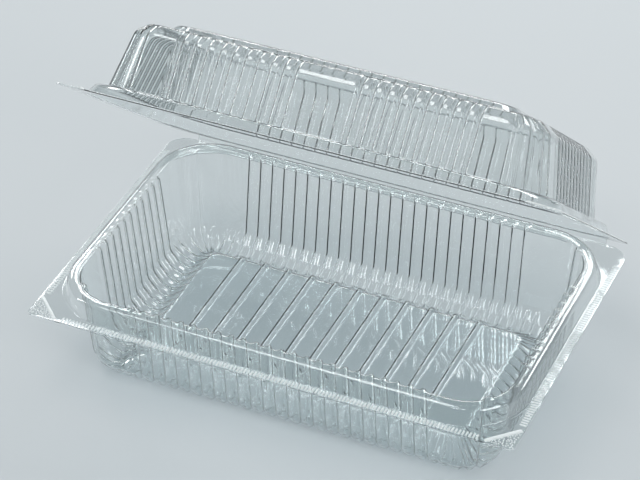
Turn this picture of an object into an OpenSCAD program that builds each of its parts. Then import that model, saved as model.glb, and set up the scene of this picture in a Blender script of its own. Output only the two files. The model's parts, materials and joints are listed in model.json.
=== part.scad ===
// Clear thermoformed food clamshell: a deep fluted tray and a shallower fluted lid on a rear hinge.
// +X runs along the long side, +Y towards the hinge, +Z up.
// The origin is the middle of the underside of the tray's floor.

/* [Outline] */
// Length of the pack over its lips
pack_l = 230; // [190:1:280]
// Width of the pack over its lips
pack_w = 152; // [130:1:200]
// Radius of the corner arcs, taken at the lip's edge; every inner line keeps the same centre
corner_r = 34; // [34:0.5:42]
// Rounding of the pointed finger tabs at the two front corners
tab_tip_r = 1.5; // [0.5:0.1:4]
// Length of the gripping corner of a finger tab, along each edge
tab_grip = 13; // [8:0.5:16]
// Width of the raised bar behind the gripping corner
tab_bar_w = 1.8; // [1:0.1:3]
// Height of the raised bar above the lip
tab_bar_h = 0.8; // [0.4:0.1:1.2]
// Plain lip left at each end of the raised bar
tab_bar_end = 1.2; // [0.6:0.1:3]
// Rounding of the lips at the two rear corners
rear_r = 10; // [4:0.5:20]
// Thickness of the plastic sheet
sheet_t = 0.5; // [0.4:0.05:0.8]

/* [Flutes] */
// Distance from one flute ridge to the next
flute_pitch = 6; // [5:0.1:9]
// How far a ridge stands in from the wall
flute_depth = 1.8; // [0.8:0.1:2.2]
// Width of a ridge at its crest
crest_w = 1.8; // [0.8:0.1:2]
// Width of a ridge at its base
base_w = 3.8; // [2.6:0.1:4.2]
// Plain wall between the last ridge and the corner arc
flute_blank = 12; // [10:0.5:20]

/* [Tray] */
// Width of the tray's flat lip
tray_lip_w = 4.6; // [3:0.1:6]
// Height of the rim step above the lip
step_h = 8; // [7:0.1:12]
// Inward lean of the step over its height
step_lean = 2.1; // [1.5:0.1:3]
// Size of the slope that rounds the step over into the ledge
shoulder = 1.6; // [1:0.1:2.5]
// Width of the flat ledge on top of the step
ledge_w = 3.9; // [3:0.1:6]
// Height of the fluted wall under the ledge
wall_h = 41; // [30:1:60]
// Inward lean of the fluted wall over its height
wall_lean = 4.7; // [2:0.1:6]
// Width of the sloping shelf under the wall
shelf_w = 4.9; // [3:0.1:6]
// Height of the sloping shelf under the wall
shelf_h = 6.2; // [3:0.1:8]
// Width of the rounded outside of the foot
knuckle_w = 4.6; // [3:0.1:6]
// Height of the rounded outside of the foot
knuckle_h = 2.2; // [1.5:0.1:5]
// Width of the flat on the foot's underside
foot_w = 3; // [2:0.1:5]
// Width of the slope from the foot up to the floor
foot_rise_w = 7.2; // [5:0.1:9]
// Height of the floor above the foot
floor_rise = 7.4; // [5:0.1:9]
// Height of the ribs on the floor
rib_h = 1.8; // [0.8:0.1:2.4]
// How many ribs the floor carries, counted from its left end
rib_count = 11; // [0:1:20]

/* [Lid] */
// Width of the lid's flat lip
lid_lip_w = 4; // [3.6:0.1:4.6]
// Height of the lid's rim step above its lip
lid_step_h = 5.2; // [4.6:0.1:6]
// Inward lean of the lid's step over its height
lid_step_lean = 1.8; // [1:0.1:2.4]
// Size of the slope that rounds the lid's step over into its ledge
lid_shoulder = 2; // [1:0.1:2.5]
// Height of the lid's fluted wall above its ledge
lid_wall_h = 26.4; // [15:0.2:40]
// Inward lean of the lid's long walls over their height
lid_lean_long = 1.5; // [1:0.1:4]
// Inward lean of the lid's short walls over their height
lid_lean_short = 6; // [2:0.1:8]
// Width of the sloping edge above the lid's long walls
brow_w_long = 4.2; // [3:0.1:6]
// Width of the sloping edge above the lid's short walls
brow_w_short = 5.8; // [3:0.1:6]
// Height of the sloping edge above the lid's walls
brow_h = 4.4; // [3:0.1:7]
// Ridges left out in the middle of the lid's front wall
window_gap = 4; // [0:1:10]
// Flat left between the lid's brow and the foot of the raised panel, at the short sides
panel_gap_short = 8.9; // [1:0.1:20]
// Flat left between the lid's brow and the foot of the raised panel, at the long sides
panel_gap_long = 4.5; // [1:0.1:20]
// Corner radius of the raised panel
panel_r = 9; // [3:0.5:15]
// Height of the raised panel, and width of the slope round it
panel_h = 2.8; // [1.5:0.1:4]

/* [Hinge] */
// Plain lip left at each end of the rolled hinge
hinge_end = 12; // [10:0.5:40]
// How far the lid stands open
lid_open = 40; // [0:1:180]
// Clearance between the closed lid's ledge and the tray's ledge
seat_gap = 0.3; // [0.2:0.05:0.6]
// Clearance between the hinge roll and the lid's rear edge
hinge_gap = 0.35; // [0.2:0.05:0.6]
// How far the lip reaches into the hinge roll, past its axis
hinge_root = 0.6; // [0.4:0.1:1]
// How far the roll's underside sits above the lip's underside
hinge_tuck = 0.1; // [0.08:0.01:0.16]

/* [Hidden] */

// Straight segments in each plain corner arc and in the hinge roll
arc_n = 5;
roll_n = 9;
// Places of the points round a ridged corner.
// A fan of three ridges uses every second one, a lone ridge the middle one.
corner_angles = [0, 20, 36, 45, 54, 70, 90];
corner_last = len(corner_angles) - 1;
NO_RIDGE = 0;
LONE_RIDGE = 1;
RIDGE_FAN = 2;
// Smallest corner radius, where a deep inset would use up the arc
least_r = 5;

// How a ring of points follows the ridges: not at all, in its own plane, to the sheet's upper or under side,
// or only where the floor has a rib
SMOOTH = 0;
LEDGE = 1;
RIDGED = 2;
RIDGED_UNDER = 3;
RIBBED = 4;

// Ridges that fit between the corner arcs, on a long and on a short side
long_n = floor((pack_l - 2 * corner_r - 2 * flute_blank) / flute_pitch + 0.001) + 1;
short_n = floor((pack_w - 2 * corner_r - 2 * flute_blank) / flute_pitch + 0.001) + 1;

// Insets of the tray's section lines from the lip's edge
shoulder_in = tray_lip_w + step_lean;
ledge_in = shoulder_in + shoulder + ledge_w;
shelf_in = ledge_in + wall_lean;
knuckle_in = shelf_in + shelf_w;
foot_in = knuckle_in + knuckle_w;
rise_in = foot_in + foot_w;
floor_in = rise_in + foot_rise_w;

// Heights of the tray's section lines, on the middle of the sheet
floor_z = sheet_t / 2;
foot_z = floor_z - floor_rise;
knuckle_z = foot_z + knuckle_h;
shelf_z = knuckle_z + shelf_h;
ledge_z = shelf_z + wall_h;
lip_z = ledge_z - step_h;

// The tray's section from the lip's edge in to the floor: inset, height, extra inset at the short sides,
// ring kind, ridges round each corner
tray_section = [
    [0, lip_z, 0, SMOOTH, NO_RIDGE],
    [tray_lip_w, lip_z, 0, SMOOTH, NO_RIDGE],
    [shoulder_in, ledge_z - shoulder, 0, SMOOTH, NO_RIDGE],
    [shoulder_in + shoulder, ledge_z, 0, SMOOTH, NO_RIDGE],
    [ledge_in, ledge_z, 0, LEDGE, LONE_RIDGE],
    [shelf_in, shelf_z, 0, RIDGED, LONE_RIDGE],
    [knuckle_in, knuckle_z, 0, RIDGED, RIDGE_FAN],
    [foot_in, foot_z, 0, RIDGED, RIDGE_FAN],
    [rise_in, foot_z, 0, RIDGED, RIDGE_FAN],
    [floor_in, floor_z, 0, RIBBED, NO_RIDGE]
];

// Heights of the lid's section lines above the middle of its own lip
lid_wall_z = lid_step_h + lid_wall_h;
lid_top_z = lid_wall_z + brow_h;

// The lid's section from the lip's edge up to its top face
lid_section = [
    [0, 0, 0, SMOOTH, NO_RIDGE],
    [lid_lip_w, 0, 0, SMOOTH, NO_RIDGE],
    [lid_lip_w + lid_step_lean, lid_step_h - lid_shoulder, 0, SMOOTH, NO_RIDGE],
    [lid_lip_w + lid_step_lean + lid_shoulder, lid_step_h, 0, SMOOTH, NO_RIDGE],
    [ledge_in, lid_step_h, 0, LEDGE, RIDGE_FAN],
    [ledge_in + lid_lean_long, lid_wall_z, lid_lean_short - lid_lean_long, RIDGED_UNDER, RIDGE_FAN],
    [ledge_in + lid_lean_long + brow_w_long, lid_top_z,
        lid_lean_short + brow_w_short - lid_lean_long - brow_w_long, LEDGE, RIDGE_FAN]
];

// Size of the raised panel on top of the lid
panel_l = pack_l - 2 * (ledge_in + lid_lean_short + brow_w_short + panel_gap_short + panel_h);
panel_w = pack_w - 2 * (ledge_in + lid_lean_long + brow_w_long + panel_gap_long + panel_h);

// The closed lid's lip stands this far above the tray's, and the hinge axis lies half way between
lip_gap = step_h + sheet_t + seat_gap - lid_step_h;
hinge_y = pack_w / 2 - hinge_root;
hinge_z = lip_z + lip_gap / 2;
hinge_l = pack_l - 2 * hinge_end;
roll_out_r = lip_gap / 2 + sheet_t / 2 - hinge_tuck;
roll_in_r = roll_out_r - sheet_t;
// The lid's lip stops short of the axis so that its edge clears the roll at every angle
lid_edge_back = sqrt(pow(roll_out_r + hinge_gap, 2) - pow(lip_gap / 2 - sheet_t / 2, 2));
lid_rear_y = hinge_y - lid_edge_back;

function unit(v) = v / norm(v);
function left_normal(a, b) = let (u = unit(b - a)) [-u[1], u[0]];
function flat_point(row) = [row[0], row[1]];

// Offset direction at one line of a section, so that both skins keep the sheet's thickness round a bend
function bend_normal(section, k) =
    let (
        last = len(section) - 1,
        here = flat_point(section[k]),
        before = k == 0 ? here - [1, 0] : flat_point(section[k - 1]),
        after = k == last ? here + [1, 0] : flat_point(section[k + 1]),
        n1 = left_normal(before, here),
        n2 = left_normal(here, after)
    ) (n1 + n2) / (1 + n1 * n2);

// A point given along and outwards from the middle of side s: 0 front, 1 right, 2 rear, 3 left
function spot(s, along, out, z) =
    [along * cos(s * 90) + out * sin(s * 90), along * sin(s * 90) - out * cos(s * 90), z];

// Corner arc that follows side s of a rectangle with half sizes ax and ay and corner radii rx and ry
function corner_arc(s, ax, ay, rx, ry, z) =
    let (
        long = s % 2 == 0,
        a = long ? ax : ay,
        b = long ? ay : ax,
        ra = long ? rx : ry,
        rb = long ? ry : rx
    ) [for (i = [0:arc_n]) let (t = 90 * i / arc_n) spot(s, a - ra + ra * sin(t), b - rb + rb * cos(t), z)];

function plain_ring(ax, ay, rx, ry, z) = [for (s = [0:3]) each corner_arc(s, ax, ay, rx, ry, z)];

// The lip's edge: pointed tabs in front, rounded corners behind, cut back along the rear to rear_y
function edge_corner(s, z) =
    let (
        a = (s % 2 == 0 ? pack_l : pack_w) / 2,
        b = (s % 2 == 0 ? pack_w : pack_l) / 2,
        r = s == 0 || s == 3 ? tab_tip_r : rear_r
    ) concat(
        [spot(s, a - corner_r, b, z)],
        [for (i = [0:arc_n - 2])
            let (t = 90 * i / (arc_n - 2))
            spot(s, a - r + r * sin(t), b - r + r * cos(t), z)],
        [spot(s, a, b - corner_r, z)]
    );
function edge_ring(z, rear_y) =
    [for (s = [0:3]) for (p = edge_corner(s, z)) [p[0], min(p[1], rear_y), p[2]]];

// Which ridges one side carries: their places along the side, without those of a plain window
function ridge_places(s, window) =
    let (n = s % 2 == 0 ? long_n : short_n)
    [for (i = [0:n - 1]) let (c = i - (n - 1) / 2) if (s != 0 || abs(c) >= window / 2) c * flute_pitch];

// Whether the ridge at this place on side s runs on over the floor as a rib, as every second one does
function is_rib(s, place) =
    let (i = round((s == 0 ? place : -place) / flute_pitch + (long_n - 1) / 2))
    s % 2 == 0 && i % 2 == 1 && (i - 1) / 2 < rib_count;

// How far, inwards and up, the crest of a ridge is moved off its ring
function ridge_move(kind, normal) =
    kind == LEDGE ? [flute_depth, 0] :
    kind == RIDGED ? flute_depth * normal :
    kind == RIDGED_UNDER ? -flute_depth * normal :
    [0, 0];
function crest_move(kind, normal, s, place) =
    kind == RIBBED && is_rib(s, place) ? [0, rib_h] : ridge_move(kind, normal);

// Corner of a ridged ring after side s; a ridge there is no deeper than half the corner's radius
function ridge_corner(s, ax, ay, rx, ry, z, move, ridges) =
    let (
        long = s % 2 == 0,
        a = long ? ax : ay,
        b = long ? ay : ax,
        ra = long ? rx : ry,
        rb = long ? ry : rx,
        share = min(1, min(rx, ry) / (2 * flute_depth))
    ) [for (i = [0:corner_last])
        let (
            t = corner_angles[i],
            on_ridge = ridges == RIDGE_FAN ? i % 2 == 1 : ridges == LONE_RIDGE && i == corner_last / 2,
            m = on_ridge ? share * move : [0, 0]
        ) spot(s, a - ra + (ra - m[0]) * sin(t), b - rb + (rb - m[0]) * cos(t), z + m[1])];

// A ring of points that follows the ridges on all four sides
function ridge_ring(section, k, skin, window) =
    let (
        row = section[k],
        normal = bend_normal(section, k),
        ay = pack_w / 2 - row[0] - skin * normal[0],
        ax = pack_l / 2 - row[0] - row[2] - skin * normal[0],
        z = row[1] + skin * normal[1],
        rx = max(corner_r - pack_l / 2 + ax, least_r),
        ry = max(corner_r - pack_w / 2 + ay, least_r)
    ) [for (s = [0:3]) each concat(
        [for (place = ridge_places(s, window)) for (q = [-base_w, -crest_w, crest_w, base_w])
            let (m = abs(q) == crest_w ? crest_move(row[3], normal, s, place) : [0, 0])
            spot(s, place + q / 2, (s % 2 == 0 ? ay : ax) - m[0], z + m[1])],
        ridge_corner(s, ax, ay, rx, ry, z, ridge_move(row[3], normal), row[4])
    )];

// A ring of points with no ridges
function smooth_ring(section, k, skin) =
    let (
        row = section[k],
        normal = bend_normal(section, k),
        inset = row[0] + skin * normal[0],
        r = corner_r - inset
    ) plain_ring(pack_l / 2 - inset, pack_w / 2 - inset, r, r, row[1] + skin * normal[1]);

// All the rings of one skin: skin is half the sheet's thickness, positive for the upper side
function skin_rings(section, skin, window, rear_y) =
    [for (k = [0:len(section) - 1])
        k == 0 ? edge_ring(section[0][1] + skin, rear_y) :
        section[k][3] == SMOOTH ? smooth_ring(section, k, skin) :
        ridge_ring(section, k, skin, window)];

// For each point of a ridged ring, the point of a plain ring that it is stitched to
function stitch_map(window) =
    [for (s = [0:3]) each concat(
        let (m = 4 * len(ridge_places(s, window)))
        [for (j = [0:m - 1]) j < m / 2 ? ((s + 3) % 4) * (arc_n + 1) + arc_n : s * (arc_n + 1)],
        [for (i = [0:corner_last]) s * (arc_n + 1) + round(i * arc_n / corner_last)]
    )];

// Triangles between an outer ring from index a and an inner ring from index b
function band(a, na, b, nb, stitch) =
    na == nb ?
        [for (i = [0:na - 1]) let (j = (i + 1) % na) each [[a + i, a + j, b + j], [a + i, b + j, b + i]]] :
    na < nb ?
        [for (i = [0:nb - 1]) let (j = (i + 1) % nb) each concat(
            [[a + stitch[i], b + j, b + i]],
            stitch[i] == stitch[j] ? [] : [[a + stitch[i], a + stitch[j], b + j]])] :
        [for (i = [0:na - 1]) let (j = (i + 1) % na) each concat(
            [[a + i, a + j, b + stitch[i]]],
            stitch[i] == stitch[j] ? [] : [[b + stitch[i], a + j, b + stitch[j]]])];

// Index of the first point of ring k
function ring_start(rings, k) = k == 0 ? 0 : len(rings[k - 1]) + ring_start(rings, k - 1);

function skin_faces(rings, stitch, first) =
    [for (k = [0:len(rings) - 2]) each band(
        first + ring_start(rings, k), len(rings[k]),
        first + ring_start(rings, k + 1), len(rings[k + 1]), stitch)];

function turned(faces) = [for (f = faces) [for (i = [len(f) - 1:-1:0]) f[i]]];

// One closed sheet from its two skins; middle lists the faces that fill the innermost ring
module sheet(upper, lower, stitch, middle) {
    n = ring_start(upper, len(upper));
    e = len(upper[0]);
    rim = [for (i = [0:e - 1]) let (j = (i + 1) % e) each [[i, j, n + j], [i, n + j, n + i]]];
    polyhedron(
        points = concat([for (r = upper) each r], [for (r = lower) each r]),
        faces = concat(
            turned(skin_faces(upper, stitch, 0)), turned(middle),
            skin_faces(lower, stitch, n), [for (f = middle) [for (i = f) i + n]], rim
        )
    );
}

// Faces of the ribbed floor: strips from front to rear, and a plain patch at each end
function floor_faces(first) =
    let (
        m = 4 * long_n,
        w = 4 * short_n,
        c = corner_last + 1,
        rear = m + c + w + c,
        all = rear + m + c + w + c
    ) concat(
        [for (j = [0:m - 2]) each [
            [first + j, first + j + 1, first + rear + m - 2 - j],
            [first + j, first + rear + m - 2 - j, first + rear + m - 1 - j]]],
        [[for (i = [m - 1:rear]) first + i]],
        [[for (i = [rear + m - 1:all]) first + i % all]]
    );

// The rolled hinge: an open half tube along the rear edge of the tray's lip
module hinge_roll() {
    from = -115;
    to = 90;
    angles = [for (i = [0:roll_n]) from + (to - from) * i / roll_n];
    translate([0, hinge_y, hinge_z]) rotate([90, 0, 90]) linear_extrude(hinge_l, center = true)
        polygon(concat(
            [for (t = angles) roll_out_r * [cos(t), sin(t)]],
            [for (i = [roll_n:-1:0]) roll_in_r * [cos(angles[i]), sin(angles[i])]]
        ));
}

// The raised bars across both finger tabs, standing on the middle of a lip at height z
module tab_bars(z) {
    reach = tab_grip / sqrt(2) + tab_bar_w / 2;
    length = 2 * (reach - tab_bar_end);
    top = sheet_t / 2 + tab_bar_h;
    foot = tab_bar_w / 2;
    crest = tab_bar_w / 3;
    for (side = [0, 1]) mirror([side, 0, 0])
        translate([pack_l / 2, -pack_w / 2, z]) rotate([0, 0, 45]) translate([0, reach, 0])
            rotate([90, 0, 90]) linear_extrude(length, center = true)
                polygon([[-foot, 0], [foot, 0], [crest, top], [-crest, top]]);
}

// The deep tray, one formed sheet: lip, rim step, ledge, fluted walls, knuckled foot and ribbed floor
module tray() {
    upper = skin_rings(tray_section, sheet_t / 2, 0, pack_w / 2);
    lower = skin_rings(tray_section, -sheet_t / 2, 0, pack_w / 2);
    color([0.86, 0.92, 0.93, 0.4]) union() {
        sheet(upper, lower, stitch_map(0), floor_faces(ring_start(upper, len(upper) - 1)));
        hinge_roll();
        tab_bars(lip_z);
    }
}

// The lid, one formed sheet: lip, rim step, ledge, fluted walls with a plain window, brow and raised panel
module lid() {
    window = window_gap;
    function panel_ring(grow, z) =
        plain_ring(panel_l / 2 + grow, panel_w / 2 + grow, panel_r + grow, panel_r + grow, z);
    function panel_rings(skin) =
        [panel_ring(panel_h, lid_top_z + skin), panel_ring(0, lid_top_z + panel_h + skin)];
    upper = concat(skin_rings(lid_section, sheet_t / 2, window, lid_rear_y), panel_rings(sheet_t / 2));
    lower = concat(skin_rings(lid_section, -sheet_t / 2, window, lid_rear_y), panel_rings(-sheet_t / 2));
    top = ring_start(upper, len(upper) - 1);
    cap = [for (i = [0:len(upper[len(upper) - 1]) - 1]) top + i];
    color([0.9, 0.95, 0.96, 0.4])
        translate([0, hinge_y, hinge_z]) rotate([-lid_open, 0, 0]) translate([0, -hinge_y, lip_gap / 2])
            union() {
                sheet(upper, lower, stitch_map(window), [cap]);
                tab_bars(0);
            }
}

tray();
lid();
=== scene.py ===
import json
import math

import bpy
import numpy as np
from mathutils import Matrix, Vector


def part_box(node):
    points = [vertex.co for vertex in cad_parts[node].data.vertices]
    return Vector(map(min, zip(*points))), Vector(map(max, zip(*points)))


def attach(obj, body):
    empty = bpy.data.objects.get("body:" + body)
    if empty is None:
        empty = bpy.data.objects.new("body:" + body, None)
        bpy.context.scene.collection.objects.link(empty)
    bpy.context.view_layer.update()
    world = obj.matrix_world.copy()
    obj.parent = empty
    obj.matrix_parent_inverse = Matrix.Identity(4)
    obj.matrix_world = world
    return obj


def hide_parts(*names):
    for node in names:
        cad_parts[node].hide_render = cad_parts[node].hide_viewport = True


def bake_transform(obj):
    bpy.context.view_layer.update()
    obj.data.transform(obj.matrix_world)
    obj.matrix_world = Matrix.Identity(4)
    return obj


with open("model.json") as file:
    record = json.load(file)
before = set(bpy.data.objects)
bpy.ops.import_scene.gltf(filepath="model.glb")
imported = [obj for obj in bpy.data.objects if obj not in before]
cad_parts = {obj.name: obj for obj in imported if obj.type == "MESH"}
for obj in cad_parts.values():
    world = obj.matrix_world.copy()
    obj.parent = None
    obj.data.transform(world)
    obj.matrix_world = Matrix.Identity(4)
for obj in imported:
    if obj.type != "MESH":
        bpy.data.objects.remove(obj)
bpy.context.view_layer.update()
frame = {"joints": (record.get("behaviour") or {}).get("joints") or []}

# Tray
# The deep half of the pack: clear polystyrene sheet, half a millimetre thick, drawn by vacuum over one tool
# together with the lid. Its section runs from the lip in to the floor, and the flutes are pressed into it.
SHEET = 0.5
# Sizes are in millimetres up to the studio, and MM makes metres of them
MM = 0.001

tray_low, tray_high = (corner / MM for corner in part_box("tray"))
HALF_LENGTH = tray_high.x
HALF_WIDTH = -tray_low.y

# Corners: the radius that all of them are set out from, the least one further in, and those of the lip's
# edge at the finger tabs and at the rear
CORNER_RADIUS = 34
LEAST_RADIUS = 4
TIP_RADIUS = 1.5
REAR_RADIUS = 10

# Flutes: ridges along the sides and fanned round the corners. The foot has some more at each end of a side,
# and every second one of a long side runs on over the floor as a rib.
FLUTE_PITCH = 6
FLUTE_DEPTH = 1.8
CREST_WIDTH = 0.4
BASE_WIDTH = 3.4
FOOT_BASE_WIDTH = 5.4
LONG_FLUTES = 24
SHORT_FLUTES = 11
FAN_ANGLE = 25
FAN_FLUTES = 3
FOOT_EXTRA = 2
RIB_HEIGHT = 1.8
RIB_COUNT = 11

LEDGE_HEIGHT = tray_high.z - SHEET / 2
FOOT_HEIGHT = tray_low.z + SHEET / 2
RIM_RISE = 8
LIP_HEIGHT = LEDGE_HEIGHT - RIM_RISE
FLOOR_HEIGHT = SHEET / 2
LEDGE_INSET = 12.2

# One row for each line of the section: inset from the lip's edge, height, how far back its bend is rounded,
# and how a flute's crest leaves it: not at all, level, square to the sheet, or up where a rib runs
SMOOTH, LEVEL, SQUARE, RIBBED = range(4)
TRAY_SECTION = [
    (0, LIP_HEIGHT, 0, SMOOTH),  # edge of the lip
    (4.6, LIP_HEIGHT, 0.7, SMOOTH),  # foot of the rim step
    (7.2, LEDGE_HEIGHT, 2.1, SMOOTH),  # top of the rim step
    (LEDGE_INSET, LEDGE_HEIGHT, 0.8, LEVEL),  # inner edge of the ledge
    (16.9, 1.25, 1.8, SQUARE),  # foot of the wall
    (21.8, -4.95, 1.6, SQUARE),  # foot of the shelf
    (26.4, FOOT_HEIGHT, 1.4, SQUARE),  # outer edge of the foot
    (29.4, FOOT_HEIGHT, 1.2, SQUARE),  # inner edge of the foot
    (36.6, FLOOR_HEIGHT, 1.2, RIBBED),  # edge of the floor
    (38, FLOOR_HEIGHT, 0, RIBBED),  # where the floor's strips begin
]
# Rows of the table: foot of the wall, foot of the shelf, inner edge of the foot and edge of the floor
WALL_LINE, FAN_LINE, RISE_LINE, FLOOR_LINE = 4, 5, 7, 8


def crest_lines(section, inwards):
    """Where the crest of a flute, and of one that runs on as a rib, passes each line of a section."""
    points = np.array([row[:2] for row in section], float)
    kinds = np.array([row[3] for row in section])
    ways = np.diff(points, axis=0)
    ways /= np.linalg.norm(ways, axis=1)[:, None]
    normals = np.column_stack([-ways[:, 1], ways[:, 0]])
    before = np.vstack([normals[:1], normals])
    after = np.vstack([normals, normals[-1:]])
    square = (before + after) / (1 + np.sum(before * after, axis=1))[:, None]
    flute = points.copy()
    flute[kinds == LEVEL] += (FLUTE_DEPTH, 0)
    flute[kinds == SQUARE] += inwards * FLUTE_DEPTH * square[kinds == SQUARE]
    rib = flute.copy()
    rib[kinds == RIBBED] += (0, RIB_HEIGHT)
    return flute, rib


BEND_STEPS = 5
# How much of the count of places a bend takes up
BEND_SPAN = 0.5


def rounded_line(points, setbacks):
    """A section line with its bends rounded, and for each point its place counted in the given points."""
    points = np.array(points, float)
    line, places = [points[0]], [0.0]
    for k in range(1, len(points) - 1):
        before = points[k - 1] - points[k]
        after = points[k + 1] - points[k]
        start = points[k] + before / np.linalg.norm(before) * setbacks[k]
        end = points[k] + after / np.linalg.norm(after) * setbacks[k]
        for u in np.linspace(0, 1, BEND_STEPS):
            line.append((1 - u) ** 2 * start + 2 * u * (1 - u) * points[k] + u ** 2 * end)
            places.append(k + BEND_SPAN * (u - 0.5))
    return np.array(line + [points[-1]]), np.array(places + [len(points) - 1.0])


# Columns on each flank of a flute, and on each knuckle that only the foot has
FLANK_STEPS = 4
KNUCKLE_STEPS = 8


def side_stops(flutes, half):
    """Places along one side at which the sheet is cut into columns, closer together on the flutes."""
    flank = np.linspace(BASE_WIDTH / 2, CREST_WIDTH / 2, FLANK_STEPS)
    by_valley = (BASE_WIDTH / 2 + FLUTE_PITCH / 2) / 2
    profile = [*(-flank), 0, *flank, by_valley, -by_valley]
    stops = [(i - (flutes - 1) / 2) * FLUTE_PITCH + p for i in range(flutes) for p in profile]
    valleys = [(i - flutes / 2) * FLUTE_PITCH for i in range(flutes + 1)]
    blank = np.linspace(flutes / 2 * FLUTE_PITCH, half, KNUCKLE_STEPS * FOOT_EXTRA + 1)[1:]
    return np.array(sorted([*stops, *valleys, *blank, *(-blank)]))


def places_in_flutes(stops, flutes, half):
    """The same places counted in flutes from the middle; a plain end holds as many as the foot adds."""
    reach = flutes / 2 * FLUTE_PITCH
    past = np.maximum(np.abs(stops) - reach, 0) / (half - reach) * FOOT_EXTRA
    return np.sign(stops) * (np.minimum(np.abs(stops), reach) / FLUTE_PITCH + past)


# Columns round the pack, from the front's left end: side, place along it, angle into the corner after it,
# and place in flutes from the middle of the side or corner
STRAIGHT_X = HALF_LENGTH - CORNER_RADIUS
STRAIGHT_Y = HALF_WIDTH - CORNER_RADIUS
CORNER_ANGLE = 90
CORNER_STEPS = 37
CORNER_STOPS = np.linspace(0, CORNER_ANGLE, CORNER_STEPS + 1)[1:-1]
long_stops = side_stops(LONG_FLUTES, STRAIGHT_X)
short_stops = side_stops(SHORT_FLUTES, STRAIGHT_Y)
columns = []
for number in range(4):
    stops, flutes, half = long_stops, LONG_FLUTES, STRAIGHT_X
    if number % 2 == 1:
        stops, flutes, half = short_stops, SHORT_FLUTES, STRAIGHT_Y
    side_places = places_in_flutes(stops, flutes, half)
    columns += [(number, stop, 0, place) for stop, place in zip(stops, side_places)]
    columns += [(number, half, turn, (turn - CORNER_ANGLE / 2) / FAN_ANGLE) for turn in CORNER_STOPS]
COLUMNS = len(columns)
side, along, corner_turn, flute_place = np.array(columns).T
in_corner = corner_turn > 0
long_side = side % 2 == 0
bend = np.radians(corner_turn)
side_turn = np.radians(CORNER_ANGLE * side)
to_next = np.column_stack([np.cos(side_turn), np.sin(side_turn)])
outward = np.column_stack([np.sin(side_turn), -np.cos(side_turn)])
facing = np.sin(bend)[:, None] * to_next + np.cos(bend)[:, None] * outward
side_flutes = np.where(long_side, LONG_FLUTES, SHORT_FLUTES)
side_straight = np.where(long_side, STRAIGHT_X, STRAIGHT_Y)
flute_reach = side_flutes * FLUTE_PITCH / 2
past_flutes = np.clip((np.abs(along) - flute_reach) / (side_straight - flute_reach), 0, 1)
# On the tray only the foot has the flutes past the end of a side, and the outer two of a corner
only_at_foot = np.where(in_corner, np.abs(flute_place) > 0.5, past_flutes > 0)

# Least plain end of a side, between its last flute and the corner
LEAST_END = 1


def ring(half_x, half_y, radius_x, radius_y):
    """Points round a rectangle with rounded corners, one to each column, with the flutes in their places."""
    straight = np.where(long_side, half_x - radius_x, half_y - radius_y)
    fluted = np.minimum(flute_reach, straight - LEAST_END)
    reach = np.minimum(np.abs(along) / flute_reach, 1) * fluted + past_flutes * (straight - fluted)
    forth = np.sign(along) * reach + np.where(long_side, radius_x, radius_y) * np.sin(bend)
    out = np.where(long_side, half_y - radius_y, half_x - radius_x)
    out = out + np.where(long_side, radius_y, radius_x) * np.cos(bend)
    return forth[:, None] * to_next + out[:, None] * outward


def lip_edge(rear):
    """Points round the lip's edge: pointed tabs in front, rounded corners behind, cut at the rear line."""
    front = (side == 3) | (side == 0)
    tip = np.where(front, TIP_RADIUS, REAR_RADIUS)
    centre = CORNER_RADIUS - tip
    both = np.sin(bend) + np.cos(bend)
    straight = CORNER_RADIUS / np.maximum(np.sin(bend), np.cos(bend))
    under_root = (centre * both) ** 2 - 2 * centre ** 2 + tip ** 2
    rounded = centre * both + np.sqrt(np.maximum(under_root, 0))
    on_tip = straight * np.minimum(np.sin(bend), np.cos(bend)) > centre
    radius = np.where(on_tip, rounded, straight)
    points = ring(STRAIGHT_X + radius, STRAIGHT_Y + radius, radius, radius)
    points[:, 1] = np.minimum(points[:, 1], rear)
    return points


# Radius from which a corner's flutes have their full depth
FULL_DEPTH_RADIUS = 4 * FLUTE_DEPTH


def pressed_rows(section, short_extra, inwards, rear, fan_from, fan_to):
    """Points of the sheet, row by row from the lip in, and the shift of a flute's crest at each point."""
    setbacks = [row[2] for row in section]
    plain = np.array([row[:2] for row in section], float)
    flute, rib = crest_lines(section, inwards)
    long_line, places = rounded_line(plain, setbacks)
    short_line, _ = rounded_line(plain + np.outer(short_extra, (1, 0)), setbacks)
    flute_line, _ = rounded_line(flute, setbacks)
    rib_line, _ = rounded_line(rib, setbacks)
    short_share = np.where(in_corner, np.where(long_side, np.sin(bend), np.cos(bend)) ** 2, ~long_side)
    number = np.round(np.where(side == 0, flute_place, -flute_place) + (LONG_FLUTES - 1) / 2)
    on_rib = long_side & ~in_corner & (number % 2 == 1) & (number > 0) & (number < 2 * RIB_COUNT)
    points, shifts = [], []
    # The flutes that only the foot has grow from row fan_from to row fan_to
    for r, place in enumerate(places):
        inset_x, inset_y = short_line[r, 0], long_line[r, 0]
        radius_x = max(CORNER_RADIUS - inset_x, LEAST_RADIUS)
        radius_y = max(CORNER_RADIUS - inset_y, LEAST_RADIUS)
        flat = ring(HALF_LENGTH - inset_x, HALF_WIDTH - inset_y, radius_x, radius_y)
        if r == 0:
            flat = lip_edge(rear)
        height = long_line[r, 1] * (1 - short_share) + short_line[r, 1] * short_share
        points.append(np.column_stack([flat, height]))
        fan = np.clip((place - fan_from) / (fan_to - fan_from), 0, 1)
        depth = np.where(in_corner, min(1, min(radius_x, radius_y) / FULL_DEPTH_RADIUS), 1)
        depth = depth * np.where(only_at_foot, fan, 1)
        shift = np.where(on_rib[:, None], rib_line[r], flute_line[r]) - long_line[r]
        shift = shift * depth[:, None]
        shifts.append(np.column_stack([-facing * shift[:, :1], shift[:, 1:]]))
    return np.array(points), np.array(shifts)


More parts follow.
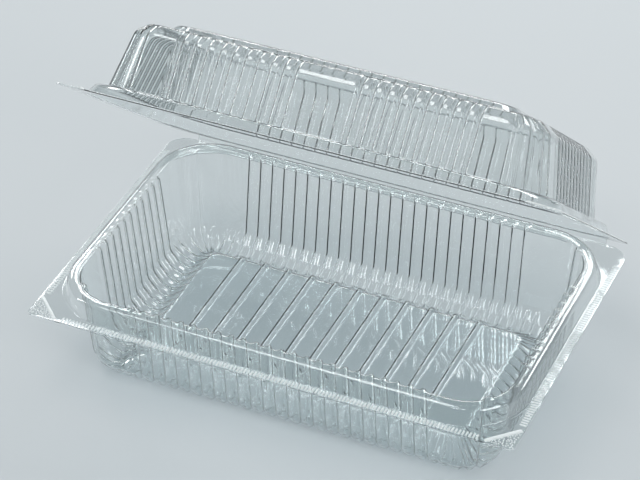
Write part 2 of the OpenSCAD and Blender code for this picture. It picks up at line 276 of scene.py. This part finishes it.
# What each point of a sheet tells the flutes: its place in flutes, the number of flutes on its side, how
# many are missing in the middle, and how far it belongs to the foot
FLUTE_FIELDS = ("place", "count", "missing", "foot")


def sheet_mesh(name, points, shifts, faces, **fields):
    """A mesh in metres whose points carry the flutes' fields and the shift of a flute's crest."""
    mesh = bpy.data.meshes.new(name)
    mesh.from_pydata((points * MM).tolist(), [], faces, shade_flat=False)
    for key in FLUTE_FIELDS:
        mesh.attributes.new(key, "FLOAT", "POINT").data.foreach_set("value", np.float32(fields[key]))
    shift = mesh.attributes.new("shift", "FLOAT_VECTOR", "POINT")
    shift.data.foreach_set("vector", np.float32(shifts * MM).ravel())
    return mesh


def band_faces(rows):
    """Four-sided faces between each row of the sheet and the next."""
    here = np.arange(COLUMNS)
    after = (here + 1) % COLUMNS
    first = np.stack([here, after, after + COLUMNS, here + COLUMNS], axis=1)
    return np.concatenate([first + r * COLUMNS for r in range(rows - 1)]).tolist()


def add_node(tree, kind, settings=(), links=()):
    """Adds a node with its settings, and feeds its sockets from other nodes or with fixed values."""
    node = tree.nodes.new(kind)
    for name, value in dict(settings).items():
        setattr(node, name, value)
    for socket, value in dict(links).items():
        if isinstance(value, bpy.types.Node):
            value = value.outputs[0]
        if isinstance(value, bpy.types.NodeSocket):
            tree.links.new(value, node.inputs[socket])
        else:
            node.inputs[socket].default_value = value
    return node


def new_tree(name, sizes):
    """An empty Geometry Nodes tree with its mesh, its named sizes and its material as inputs."""
    tree = bpy.data.node_groups.new(name, "GeometryNodeTree")
    tree.interface.new_socket("Geometry", in_out="INPUT", socket_type="NodeSocketGeometry")
    tree.interface.new_socket("Geometry", in_out="OUTPUT", socket_type="NodeSocketGeometry")
    for size in sizes:
        tree.interface.new_socket(size, in_out="INPUT", socket_type="NodeSocketFloat")
    tree.interface.new_socket("Material", in_out="INPUT", socket_type="NodeSocketMaterial")
    return tree, add_node(tree, "NodeGroupInput").outputs


def end_tree(tree, given, made):
    """Closes a tree: what it made becomes one plain mesh in its material."""
    real = add_node(tree, "GeometryNodeRealizeInstances", links={"Geometry": made})
    painted = add_node(tree, "GeometryNodeSetMaterial", links={
        "Geometry": real, "Material": given["Material"]})
    add_node(tree, "NodeGroupOutput", links={"Geometry": painted})


# Edges that bend more than this are shaded sharp
SHARP_ANGLE = math.radians(50)


def piece_from(name, mesh, tree=None, values=(), wall=0):
    """Runs a tree over a mesh, gives the result a wall if asked, and keeps it as a plain mesh."""
    maker = bpy.data.objects.new(name + "_maker", mesh)
    bpy.context.scene.collection.objects.link(maker)
    if tree:
        modifier = maker.modifiers.new(tree.name, "NODES")
        modifier.node_group = tree
        for item in tree.interface.items_tree:
            if item.in_out == "INPUT" and item.name in values:
                modifier[item.identifier] = values[item.name]
    if wall:
        thicken = maker.modifiers.new("sheet", "SOLIDIFY")
        thicken.thickness = wall
        thicken.offset = 0
    result = bpy.data.meshes.new_from_object(maker.evaluated_get(bpy.context.evaluated_depsgraph_get()))
    bpy.data.objects.remove(maker)
    for key in (*FLUTE_FIELDS, "shift"):
        if key in result.attributes:
            result.attributes.remove(result.attributes[key])
    result.set_sharp_from_angle(angle=SHARP_ANGLE)
    piece = bpy.data.objects.new(name, result)
    bpy.context.scene.collection.objects.link(piece)
    return piece


def linear(colour):
    """Linear RGBA from an sRGB hex colour."""
    parts = [int(colour[i:i + 2], 16) / 255 for i in (1, 3, 5)]
    return [p / 12.92 if p <= 0.04045 else ((p + 0.055) / 1.055) ** 2.4 for p in parts] + [1]


# Clear polystyrene, vacuum formed: high gloss, bright reflections along every bend and a faint cool tint.
# Stretching leaves it slightly wavy, so reflections on the flats waver, and a little milky where it is seen
# edge on. The lamps' light passes straight through it, as through any thin clear sheet.
SHEET_TINT = "#F6F9F9"
SHADOW_TINT = "#F0F3F4"
WAVE_WIDTH = 14
WAVE_HEIGHT = 0.5
GRAIN_WIDTH = 3.5
GRAIN_HEIGHT = 0.05
clear_sheet = bpy.data.materials.new("clear_polystyrene_vacuum_formed")
clear_sheet.use_nodes = True
sheet_nodes = clear_sheet.node_tree
sheet_nodes.nodes.clear()
where = add_node(sheet_nodes, "ShaderNodeTexCoord").outputs["Object"]
wave = add_node(sheet_nodes, "ShaderNodeTexNoise", links={
    "Vector": where, "Scale": 1 / (WAVE_WIDTH * MM), "Detail": 1.0, "Roughness": 0.4})
grain = add_node(sheet_nodes, "ShaderNodeTexNoise", links={
    "Vector": where, "Scale": 1 / (GRAIN_WIDTH * MM), "Detail": 1.0, "Roughness": 0.4})
wavy = add_node(sheet_nodes, "ShaderNodeBump", links={
    "Strength": 0.15, "Distance": WAVE_HEIGHT * MM, "Height": wave.outputs["Fac"]})
grainy = add_node(sheet_nodes, "ShaderNodeBump", links={
    "Strength": 0.03, "Distance": GRAIN_HEIGHT * MM, "Height": grain.outputs["Fac"], "Normal": wavy})
plastic = add_node(sheet_nodes, "ShaderNodeBsdfPrincipled", links={
    "Base Color": linear(SHEET_TINT), "Roughness": 0.03, "IOR": 1.58, "Transmission Weight": 1.0,
    "Sheen Weight": 0.12, "Sheen Roughness": 0.3, "Normal": grainy})
let_through = add_node(sheet_nodes, "ShaderNodeBsdfTransparent", links={"Color": linear(SHADOW_TINT)})
ray = add_node(sheet_nodes, "ShaderNodeLightPath")
of_lamps = add_node(sheet_nodes, "ShaderNodeMath", {"operation": "MAXIMUM"}, {
    0: ray.outputs["Is Shadow Ray"], 1: ray.outputs["Is Diffuse Ray"]})
either = add_node(sheet_nodes, "ShaderNodeMixShader", links={0: of_lamps, 1: plastic, 2: let_through})
add_node(sheet_nodes, "ShaderNodeOutputMaterial", links={"Surface": either})

# The flutes: each is a rounded ridge that stands into the pack along the crest's shift. At the foot the
# ridges are wider, so that only round knuckles are left between them.
flute_tree, given = new_tree("press_flutes", ["Pitch", "Crest width", "Base width", "Foot width"])
place, count, missing, foot = (
    add_node(flute_tree, "GeometryNodeInputNamedAttribute", {"data_type": "FLOAT"}, {"Name": key})
    for key in FLUTE_FIELDS)
shift = add_node(
    flute_tree, "GeometryNodeInputNamedAttribute", {"data_type": "FLOAT_VECTOR"}, {"Name": "shift"})
last = add_node(flute_tree, "ShaderNodeMath", {"operation": "SUBTRACT"}, {0: count, 1: 1.0})
middle = add_node(flute_tree, "ShaderNodeMath", {"operation": "MULTIPLY"}, {0: last, 1: 0.5})
counted = add_node(flute_tree, "ShaderNodeMath", {"operation": "ADD"}, {0: place, 1: middle})
nearest = add_node(flute_tree, "ShaderNodeMath", {"operation": "ROUND"}, {0: counted})
at_most = add_node(flute_tree, "ShaderNodeMath", {"operation": "MINIMUM"}, {0: nearest, 1: last})
number = add_node(flute_tree, "ShaderNodeMath", {"operation": "MAXIMUM"}, {0: at_most, 1: 0.0})
crest_place = add_node(flute_tree, "ShaderNodeMath", {"operation": "SUBTRACT"}, {0: number, 1: middle})
from_crest = add_node(flute_tree, "ShaderNodeMath", {"operation": "SUBTRACT"}, {0: place, 1: crest_place})
away = add_node(flute_tree, "ShaderNodeMath", {"operation": "ABSOLUTE"}, {0: from_crest})
away_size = add_node(flute_tree, "ShaderNodeMath", {"operation": "MULTIPLY"}, {0: away, 1: given["Pitch"]})
base = add_node(flute_tree, "ShaderNodeMapRange", links={
    "Value": foot, "To Min": given["Base width"], "To Max": given["Foot width"]})
half_base = add_node(flute_tree, "ShaderNodeMath", {"operation": "MULTIPLY"}, {0: base, 1: 0.5})
half_crest = add_node(
    flute_tree, "ShaderNodeMath", {"operation": "MULTIPLY"}, {0: given["Crest width"], 1: 0.5})
profile = add_node(flute_tree, "ShaderNodeMapRange", {"interpolation_type": "SMOOTHSTEP"}, {
    "Value": away_size, "From Min": half_base, "From Max": half_crest})
from_middle = add_node(flute_tree, "ShaderNodeMath", {"operation": "ABSOLUTE"}, {0: crest_place})
half_window = add_node(flute_tree, "ShaderNodeMath", {"operation": "MULTIPLY"}, {0: missing, 1: 0.5})
kept = add_node(
    flute_tree, "ShaderNodeMath", {"operation": "GREATER_THAN"}, {0: from_middle, 1: half_window})
no_window = add_node(flute_tree, "ShaderNodeMath", {"operation": "LESS_THAN"}, {0: missing, 1: 0.5})
pressed_here = add_node(flute_tree, "ShaderNodeMath", {"operation": "MAXIMUM"}, {0: kept, 1: no_window})
rise = add_node(flute_tree, "ShaderNodeMath", {"operation": "MULTIPLY"}, {0: profile, 1: pressed_here})
push = add_node(flute_tree, "ShaderNodeVectorMath", {"operation": "SCALE"}, {0: shift, "Scale": rise})
pressed = add_node(
    flute_tree, "GeometryNodeSetPosition", links={"Geometry": given["Geometry"], "Offset": push})
end_tree(flute_tree, given, pressed)
FLUTE_SIZES = {
    "Pitch": FLUTE_PITCH * MM, "Crest width": CREST_WIDTH * MM, "Base width": BASE_WIDTH * MM,
    "Foot width": FOOT_BASE_WIDTH * MM, "Material": clear_sheet}

tray_count = np.where(in_corner, FAN_FLUTES, side_flutes + 2 * FOOT_EXTRA)
tray_points, tray_shifts = pressed_rows(
    TRAY_SECTION, np.zeros(len(TRAY_SECTION)), inwards=1, rear=HALF_WIDTH,
    fan_from=WALL_LINE, fan_to=FAN_LINE)
tray_rows = len(tray_points)
tray_faces = band_faces(tray_rows)
# How far each row belongs to the foot
_, tray_places = rounded_line([row[:2] for row in TRAY_SECTION], [row[2] for row in TRAY_SECTION])
tray_foot = np.interp(tray_places, [WALL_LINE, FAN_LINE, RISE_LINE, FLOOR_LINE], [0, 1, 1, 0])

# The floor: strips from the front of its edge to the rear, so that the ribs run straight across it
FLOOR_CUTS = 7
floor_ring = (tray_rows - 1) * COLUMNS
fronts = len(long_stops)
rear_first = fronts + len(short_stops) + 2 * len(CORNER_STOPS)
front_edge = floor_ring + np.arange(fronts)
rear_edge = floor_ring + rear_first + np.arange(fronts)[::-1]
flat_points, flat_shifts = tray_points.reshape(-1, 3), tray_shifts.reshape(-1, 3)
shares = np.arange(1, FLOOR_CUTS)[:, None, None] / FLOOR_CUTS
inner_points = (1 - shares) * flat_points[front_edge] + shares * flat_points[rear_edge]
inner_shifts = np.repeat(flat_shifts[front_edge][None], FLOOR_CUTS - 1, axis=0)
inner_index = tray_rows * COLUMNS + np.arange((FLOOR_CUTS - 1) * fronts).reshape(FLOOR_CUTS - 1, fronts)
floor_lines = np.vstack([front_edge, inner_index, rear_edge])
for near, far in zip(floor_lines[:-1], floor_lines[1:]):
    tray_faces += np.stack([near[:-1], near[1:], far[1:], far[:-1]], axis=1).tolist()
right_end = floor_ring + np.arange(fronts - 1, rear_first + 1)
left_end = floor_ring + np.arange(rear_first + fronts - 1, COLUMNS + 1) % COLUMNS
tray_faces.append([*right_end, *inner_index[::-1, -1]])
tray_faces.append([*left_end, *inner_index[:, 0]])
inner_places = np.tile(flute_place[:fronts], FLOOR_CUTS - 1)
inner_count = np.tile(tray_count[:fronts], FLOOR_CUTS - 1)
tray_mesh = sheet_mesh(
    "tray_sheet", np.vstack([flat_points, inner_points.reshape(-1, 3)]),
    np.vstack([flat_shifts, inner_shifts.reshape(-1, 3)]), tray_faces,
    place=np.concatenate([np.tile(flute_place, tray_rows), inner_places]),
    count=np.concatenate([np.tile(tray_count, tray_rows), inner_count]),
    missing=np.zeros(tray_rows * COLUMNS + len(inner_places)),
    foot=np.concatenate([np.repeat(tray_foot, COLUMNS), np.zeros(len(inner_places))]))
tray_sheet = piece_from("tray_sheet", tray_mesh, flute_tree, FLUTE_SIZES, wall=SHEET * MM)
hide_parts("tray")
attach(tray_sheet, "tray")

# Grip of the tray's lip
# The lip is knurled between its finger tabs and the rear corners, so that a thumb can part the closed lips.
# The bars are formed in the same sheet: low gabled ridges across the lip.
GRIP_PITCH = 1.6
# Width of a bar along the lip, its length across the lip and its height
GRIP_BAR = (1.0, 3.0, 0.45)
GRIP_INSET = 2.0
GRIP_END = 4
GRIP_SUNK = 0.05
TAB_LENGTH = 17

# Clear polystyrene, knurled: the same sheet, rougher and only half clear, so that it scatters the lamps'
# light and looks whitish beside the clear sheet. The rougher gloss spreads the lamps' highlights. The
# whitish body is a painted highlight, standing in for the bright highlights that the clear knurl, stipple
# and bars catch.
KNURL_ROUGHNESS = 0.3
KNURL_CLEARNESS = 0.5
knurl_sheet_painted_highlight = clear_sheet.copy()
knurl_sheet_painted_highlight.name = "clear_polystyrene_knurled_painted_highlight"
knurled_plastic = knurl_sheet_painted_highlight.node_tree.nodes["Principled BSDF"]
knurled_plastic.inputs["Roughness"].default_value = KNURL_ROUGHNESS
# Painted highlight: the share that is not clear shows as a whitish body under any lamp
knurled_plastic.inputs["Transmission Weight"].default_value = KNURL_CLEARNESS

grip_tree, given = new_tree("knurl_lip", ["Pitch", "Bar width", "Bar length", "Bar height"])
path = add_node(grip_tree, "GeometryNodeMeshToCurve", links={"Mesh": given["Geometry"]})
spaced = add_node(grip_tree, "GeometryNodeResampleCurve", {"mode": "LENGTH"}, {
    "Curve": path, "Length": given["Pitch"]})
# A bar is a three-sided prism laid on its side, one by one by one before its sizes are applied
PRISM_HEIGHT = 1.5
PRISM_WIDTH = math.sqrt(3)
QUARTER_TURN = math.pi / 2
prism = add_node(grip_tree, "GeometryNodeMeshCylinder", links={"Vertices": 3, "Radius": 1.0, "Depth": 1.0})
bar = add_node(grip_tree, "GeometryNodeTransform", links={
    "Geometry": prism, "Scale": (1 / PRISM_HEIGHT, 1 / PRISM_WIDTH, 1),
    "Translation": (0, 0, 0.5 / PRISM_HEIGHT), "Rotation": (-QUARTER_TURN, -QUARTER_TURN, 0)})
bar_size = add_node(grip_tree, "ShaderNodeCombineXYZ", links={
    "X": given["Bar width"], "Y": given["Bar length"], "Z": given["Bar height"]})
tangent = add_node(grip_tree, "GeometryNodeInputTangent")
across = add_node(grip_tree, "FunctionNodeAlignRotationToVector", {"axis": "X", "pivot_axis": "Z"}, {
    "Vector": tangent})
bars = add_node(grip_tree, "GeometryNodeInstanceOnPoints", links={
    "Points": spaced, "Instance": bar, "Rotation": across, "Scale": bar_size})
soft = add_node(grip_tree, "GeometryNodeSetShadeSmooth", links={"Geometry": bars})
end_tree(grip_tree, given, soft)


def grip_path(name, inset, rear, height):
    """The three stretches of a lip that are knurled: left side, front and right side."""
    x, y = HALF_LENGTH - inset, HALF_WIDTH - inset
    tab_x, tab_y = HALF_LENGTH - TAB_LENGTH, TAB_LENGTH - HALF_WIDTH
    ends = [(-x, rear), (-x, tab_y), (-tab_x, -y), (tab_x, -y), (x, tab_y), (x, rear)]
    mesh = bpy.data.meshes.new(name)
    mesh.from_pydata([(px * MM, py * MM, height * MM) for px, py in ends], [(0, 1), (2, 3), (4, 5)], [])
    return mesh


def grip_sizes(bar):
    """Inputs of the knurled lip's tree for bars of this width, length and height."""
    width, length, height = bar
    return {"Pitch": GRIP_PITCH * MM, "Bar width": width * MM, "Bar length": length * MM,
            "Bar height": height * MM, "Material": knurl_sheet_painted_highlight}


GRIP_REAR = HALF_WIDTH - REAR_RADIUS - GRIP_END
tray_grip = piece_from(
    "tray_lip_grip", grip_path("tray_lip_grip", GRIP_INSET, GRIP_REAR, LIP_HEIGHT + SHEET / 2 - GRIP_SUNK),
    grip_tree, grip_sizes(GRIP_BAR))
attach(tray_grip, "tray")

# Finger tabs of the tray
# Each pointed front corner is stippled for grip and closed off from the rim by a raised bar across it.
# Both are formed in the sheet, like the knurling.
TAB_GRIP = 13
TAB_BAR_WIDTH = 1.8
TAB_BAR_HEIGHT = 0.8
TAB_BAR_END = 1.2
TAB_MARGIN = 0.9
STIPPLE_SPACING = 0.95
STIPPLE_SIZE = 0.8
STIPPLE_RISE = SHEET / 4
STIPPLE_SEED = 4
# Dots tried per square metre, of which the spacing lets fewer stay
STIPPLE_DENSITY = 3.0e6
stipple_tree, given = new_tree("stipple_tab", ["Spacing", "Size"])
dots = add_node(stipple_tree, "GeometryNodeDistributePointsOnFaces", {"distribute_method": "POISSON"}, {
    "Mesh": given["Geometry"], "Distance Min": given["Spacing"], "Density Max": STIPPLE_DENSITY,
    "Seed": STIPPLE_SEED})
dome = add_node(stipple_tree, "GeometryNodeMeshIcoSphere", links={"Radius": 0.5, "Subdivisions": 2})
domes = add_node(stipple_tree, "GeometryNodeInstanceOnPoints", links={
    "Points": dots, "Instance": dome, "Scale": given["Size"]})
soft = add_node(stipple_tree, "GeometryNodeSetShadeSmooth", links={"Geometry": domes})
end_tree(stipple_tree, given, soft)


def tab_triangles(name, height):
    """The two triangles of lip, one at each front corner, that are stippled."""
    reach = TAB_GRIP - 2 * TAB_MARGIN
    corners = []
    for way in (-1, 1):
        x, y = way * (HALF_LENGTH - TAB_MARGIN), TAB_MARGIN - HALF_WIDTH
        corners += [(x, y), (x - way * reach, y), (x, y + reach)]
    mesh = bpy.data.meshes.new(name)
    mesh.from_pydata([(x * MM, y * MM, height * MM) for x, y in corners], [], [(0, 1, 2), (3, 5, 4)])
    return mesh


# One half of a raised bar, across it and along it: share of its width or length, and share of its height
BAR_SECTION = [(-0.5, 0.0), (-0.47, 0.45), (-0.4, 0.75), (-0.27, 0.96), (0, 1.0)]
BAR_ENDS = [(-0.5, 0.0), (-0.49, 0.5), (-0.46, 0.85), (-0.42, 1.0)]


def tab_bars(name, height):
    """The two raised bars across the front corners, each a flat-topped strip with rounded edges."""
    reach = TAB_GRIP / math.sqrt(2) + TAB_BAR_WIDTH / 2
    length = 2 * (reach - TAB_BAR_END)
    top = SHEET / 2 + TAB_BAR_HEIGHT
    section = BAR_SECTION + [(-u, v) for u, v in BAR_SECTION[-2::-1]]
    ends = BAR_ENDS + [(-u, v) for u, v in BAR_ENDS[::-1]]
    n = len(section)
    points, faces = [], []
    for way in (-1, 1):
        first = len(points)
        corner = Matrix.Translation((way * HALF_LENGTH, -HALF_WIDTH, height))
        place = corner @ Matrix.Rotation(way * QUARTER_TURN / 2, 4, "Z")
        for u, low in ends:
            for v, high in section:
                points.append(place @ Vector((u * length, reach + v * TAB_BAR_WIDTH, high * low * top)) * MM)
        for a in range(len(ends) - 1):
            here, after = first + a * n, first + (a + 1) * n
            faces += [[here + b, after + b, after + b + 1, here + b + 1] for b in range(n - 1)]
        near = [first + a * n for a in range(len(ends))]
        faces.append(near + [i + n - 1 for i in near[::-1]])
    mesh = bpy.data.meshes.new(name)
    mesh.from_pydata(points, [], faces, shade_flat=False)
    mesh.materials.append(knurl_sheet_painted_highlight)
    return piece_from(name, mesh)


STIPPLE_SIZES = {"Spacing": STIPPLE_SPACING * MM, "Size": STIPPLE_SIZE * MM, "Material": knurl_sheet_painted_highlight}
tray_stipple = piece_from(
    "tray_tab_stipple", tab_triangles("tray_tab_stipple", LIP_HEIGHT + STIPPLE_RISE),
    stipple_tree, STIPPLE_SIZES)
tray_bars = tab_bars("tray_tab_bars", LIP_HEIGHT)
for piece in (tray_stipple, tray_bars):
    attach(piece, "tray")

# Lid
# The shallower half of the same clear sheet, drawn in one shot with the tray and folded over it. Its front
# wall has a plain window without flutes in the middle, and its top a raised panel to stack on.
hinge = frame["joints"][0]
HINGE_Y, HINGE_Z = (value / MM for value in hinge["pos_m"][1:])
LID_OPEN = -hinge["range_deg"][0]
HALF_GAP = HINGE_Z - LIP_HEIGHT
# Rear edge of the lid's lip when the pack is closed
LID_REAR = 73.7
WINDOW_FLUTES = 4
LID_STEP = 5.2
LID_WALL = 26.4
LID_BROW = 4.4
LID_WALL_TOP = LID_STEP + LID_WALL
LID_TOP = LID_WALL_TOP + LID_BROW
PANEL_HALF = (79.3, 50.8)
PANEL_RADIUS = 9
PANEL_HEIGHT = 2.8
LID_SECTION = [
    (0, 0, 0, SMOOTH),  # edge of the lip
    (4, 0, 0.7, SMOOTH),  # foot of the rim step
    (6.9, LID_STEP, 2.2, SMOOTH),  # top of the rim step
    (LEDGE_INSET, LID_STEP, 0.8, LEVEL),  # inner edge of the ledge
    (13.7, LID_WALL_TOP, 1.6, SQUARE),  # top of the wall
    (17.9, LID_TOP, 1.2, LEVEL),  # top of the brow
    (19.3, LID_TOP, 0, SMOOTH),  # edge of the flat top
]
# How much further in each row lies at the short sides
SHORT_EXTRA = [0, 0, 0, 0, 4.5, 6.1, 6.1]
# All flutes of the lid's corners start at its first row
lid_points, lid_shifts = pressed_rows(
    LID_SECTION, SHORT_EXTRA, inwards=-1, rear=LID_REAR, fan_from=-1, fan_to=0)

# The raised panel: a slope all round, rounded at its foot and its top
PANEL_EDGE = 1.5
PANEL_ROUND = 0.9
slope, _ = rounded_line(
    [(PANEL_HEIGHT + PANEL_EDGE, LID_TOP), (PANEL_HEIGHT, LID_TOP),
     (0, LID_TOP + PANEL_HEIGHT), (-PANEL_EDGE, LID_TOP + PANEL_HEIGHT)],
    [0, PANEL_ROUND, PANEL_ROUND, 0])
panel_rings = []
for grow, height in slope:
    flat = ring(PANEL_HALF[0] + grow, PANEL_HALF[1] + grow, PANEL_RADIUS + grow, PANEL_RADIUS + grow)
    panel_rings.append(np.column_stack([flat, np.full(COLUMNS, height)]))
lid_points = np.concatenate([lid_points, panel_rings])
lid_shifts = np.concatenate([lid_shifts, np.zeros((len(panel_rings), COLUMNS, 3))])
lid_rows = len(lid_points)
lid_faces = band_faces(lid_rows) + [[(lid_rows - 1) * COLUMNS + i for i in range(COLUMNS)]]
opened = Matrix.Translation((0, HINGE_Y, HINGE_Z)) @ Matrix.Rotation(math.radians(-LID_OPEN), 4, "X")
opened = opened @ Matrix.Translation((0, -HINGE_Y, HALF_GAP))
lid_turn = np.array(opened.to_3x3())
lid_place = np.array(opened.translation)
lid_count = np.where(in_corner, FAN_FLUTES, side_flutes)
lid_mesh = sheet_mesh(
    "lid_sheet", lid_points.reshape(-1, 3) @ lid_turn.T + lid_place, lid_shifts.reshape(-1, 3) @ lid_turn.T,
    lid_faces, place=np.tile(flute_place, lid_rows), count=np.tile(lid_count, lid_rows),
    missing=np.tile(np.where((side == 0) & ~in_corner, WINDOW_FLUTES, 0), lid_rows),
    foot=np.zeros(lid_rows * COLUMNS))
lid_sheet = piece_from("lid_sheet", lid_mesh, flute_tree, FLUTE_SIZES, wall=SHEET * MM)
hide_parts("lid")
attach(lid_sheet, "lid")

# Lip and finger tabs of the lid
# The lid's lip carries the same knurling, stippled tabs and raised bars as the tray's, on a narrower lip.
# They are formed in the sheet in the same way.
LID_GRIP_BAR = (1.0, 2.6, 0.45)
LID_GRIP_INSET = 1.8
lid_frame = Matrix.Translation(opened.translation * MM) @ opened.to_3x3().to_4x4()
lid_grip = piece_from(
    "lid_lip_grip", grip_path("lid_lip_grip", LID_GRIP_INSET, GRIP_REAR, SHEET / 2 - GRIP_SUNK),
    grip_tree, grip_sizes(LID_GRIP_BAR))
lid_stipple = piece_from(
    "lid_tab_stipple", tab_triangles("lid_tab_stipple", STIPPLE_RISE), stipple_tree, STIPPLE_SIZES)
lid_bars = tab_bars("lid_tab_bars", 0)
for piece in (lid_grip, lid_stipple, lid_bars):
    piece.data.transform(lid_frame)
    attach(piece, "lid")

# Hinge
# The same clear sheet, folded over along the rear. On the pack it bends as the lid swings; here it is one
# fixed fold, shaped as it lies with the lid open. It runs round the hinge's axis from the rear edge of the
# tray's lip to the rear edge of the lid's.
HINGE_END = 12
# Angles round the hinge's axis at which the fold begins and ends, from 0 at the rear to 90 above it
FOLD_FROM = -72
FOLD_TO = 90 - LID_OPEN
FOLD_STEPS = 16
FOLD_STOPS = 60
fold_half = HALF_LENGTH - HINGE_END
fold_turns = np.radians(np.linspace(FOLD_FROM, FOLD_TO, FOLD_STEPS))
fold_line = [(HINGE_Y + HALF_GAP * math.cos(t), HINGE_Z + HALF_GAP * math.sin(t)) for t in fold_turns]
lid_edge = opened @ Vector((0, LID_REAR, 0))
fold_line.append((lid_edge.y, lid_edge.z))
fold_points = [(x * MM, y * MM, z * MM) for y, z in fold_line
               for x in np.linspace(-fold_half, fold_half, FOLD_STOPS)]
fold_faces = []
for r in range(len(fold_line) - 1):
    here, after = r * FOLD_STOPS, (r + 1) * FOLD_STOPS
    fold_faces += [[here + i, here + i + 1, after + i + 1, after + i] for i in range(FOLD_STOPS - 1)]
fold_mesh = bpy.data.meshes.new("hinge_fold")
fold_mesh.from_pydata(fold_points, [], fold_faces, shade_flat=False)
fold_mesh.materials.append(clear_sheet)
hinge_fold = piece_from("hinge_fold", fold_mesh, wall=SHEET * MM)
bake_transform(hinge_fold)

# Studio
# A plain pale table of painted board, soft lamps round it and the camera that the pack was seen by.
# The table and the lamps are sized and placed in metres.
TABLE_SIZE = 8
TABLE_COLOUR = "#C3C9CC"
TABLE_ROUGHNESS = 0.7
# Gap in millimetres that keeps the foot and the table from sharing a face
TABLE_GAP = 0.1
bpy.ops.mesh.primitive_plane_add(size=TABLE_SIZE, location=(0, 0, (tray_low.z - TABLE_GAP) * MM))
table = bpy.context.object
table.name = "table"
table_paint = bpy.data.materials.new("matt_painted_board")
table_paint.use_nodes = True
board = table_paint.node_tree.nodes["Principled BSDF"]
board.inputs["Base Color"].default_value = linear(TABLE_COLOUR)
board.inputs["Roughness"].default_value = TABLE_ROUGHNESS
table.data.materials.append(table_paint)

SKY_COLOUR = "#AEB6BA"
SKY_STRENGTH = 0.28
world = bpy.data.worlds.new("studio")
bpy.context.scene.world = world
world.use_nodes = True
sky = world.node_tree.nodes["Background"]
sky.inputs["Color"].default_value = linear(SKY_COLOUR)
sky.inputs["Strength"].default_value = SKY_STRENGTH

LAMP_AIM = Vector((0, 0, 0.05))


def softbox(name, place, size, power):
    """A rectangular lamp that looks at the pack."""
    lamp = bpy.data.lights.new(name, "AREA")
    lamp.shape = "RECTANGLE"
    lamp.size, lamp.size_y = size
    lamp.energy = power
    box = bpy.data.objects.new(name, lamp)
    bpy.context.scene.collection.objects.link(box)
    box.location = place
    box.rotation_euler = (LAMP_AIM - Vector(place)).to_track_quat("-Z", "Y").to_euler()


# Each lamp's place, its width and height, and its power in watts. They stand clear of what the pack's broad
# flats mirror into the camera, and the rim boxes are small, so that only a rim mirrors them.
softbox("top_box", (-0.3, -0.15, 1.25), (0.8, 0.5), 6.0)
softbox("rear_right_box", (0.33, 0.95, 0.74), (0.9, 0.25), 5.4)
softbox("rear_left_box", (-0.85, 0.75, 0.6), (0.3, 0.25), 2.0)
softbox("rear_low_strip", (-0.37, 1.0, 0.5), (0.5, 0.06), 1.5)
softbox("right_rim_box", (-0.14, 0.92, 0.785), (0.13, 0.14), 0.5)
softbox("left_rim_box", (-0.554, 0.77, 0.775), (0.08, 0.1), 0.2)
softbox("front_box", (0.12, -0.84, 1.0), (0.4, 0.22), 2.0)
softbox("right_box", (0.9, -0.45, 0.55), (0.55, 0.45), 4.6)
softbox("left_strip", (-1.0, -0.35, 0.5), (0.08, 0.7), 2.4)

# The camera was fitted to the photograph, a long lens from the front right and above. Its place is in
# millimetres.
PHOTO_WIDTH = 640
FOCAL_PIXELS = 2983.4
CAMERA_AZIMUTH = math.radians(23.21)
CAMERA_ELEVATION = math.radians(36.70)
CAMERA_ROLL = math.radians(0.451)
CAMERA_PLACE = Vector((413.8, -980.0, 850.6))
camera = bpy.data.objects.new("camera", bpy.data.cameras.new("camera"))
bpy.context.scene.collection.objects.link(camera)
camera.data.lens = camera.data.sensor_width * FOCAL_PIXELS / PHOTO_WIDTH
camera.data.clip_start = 0.01
camera.data.clip_end = 50
level = math.cos(CAMERA_ELEVATION)
back = Vector((
    math.sin(CAMERA_AZIMUTH) * level, -math.cos(CAMERA_AZIMUTH) * level, math.sin(CAMERA_ELEVATION)))
aim = (-back).to_track_quat("-Z", "Y") @ Matrix.Rotation(CAMERA_ROLL, 3, "Z").to_quaternion()
camera.rotation_mode = "QUATERNION"
camera.rotation_quaternion = aim
camera.location = CAMERA_PLACE * MM
bpy.context.scene.camera = camera
bpy.context.scene.view_settings.view_transform = "Standard"
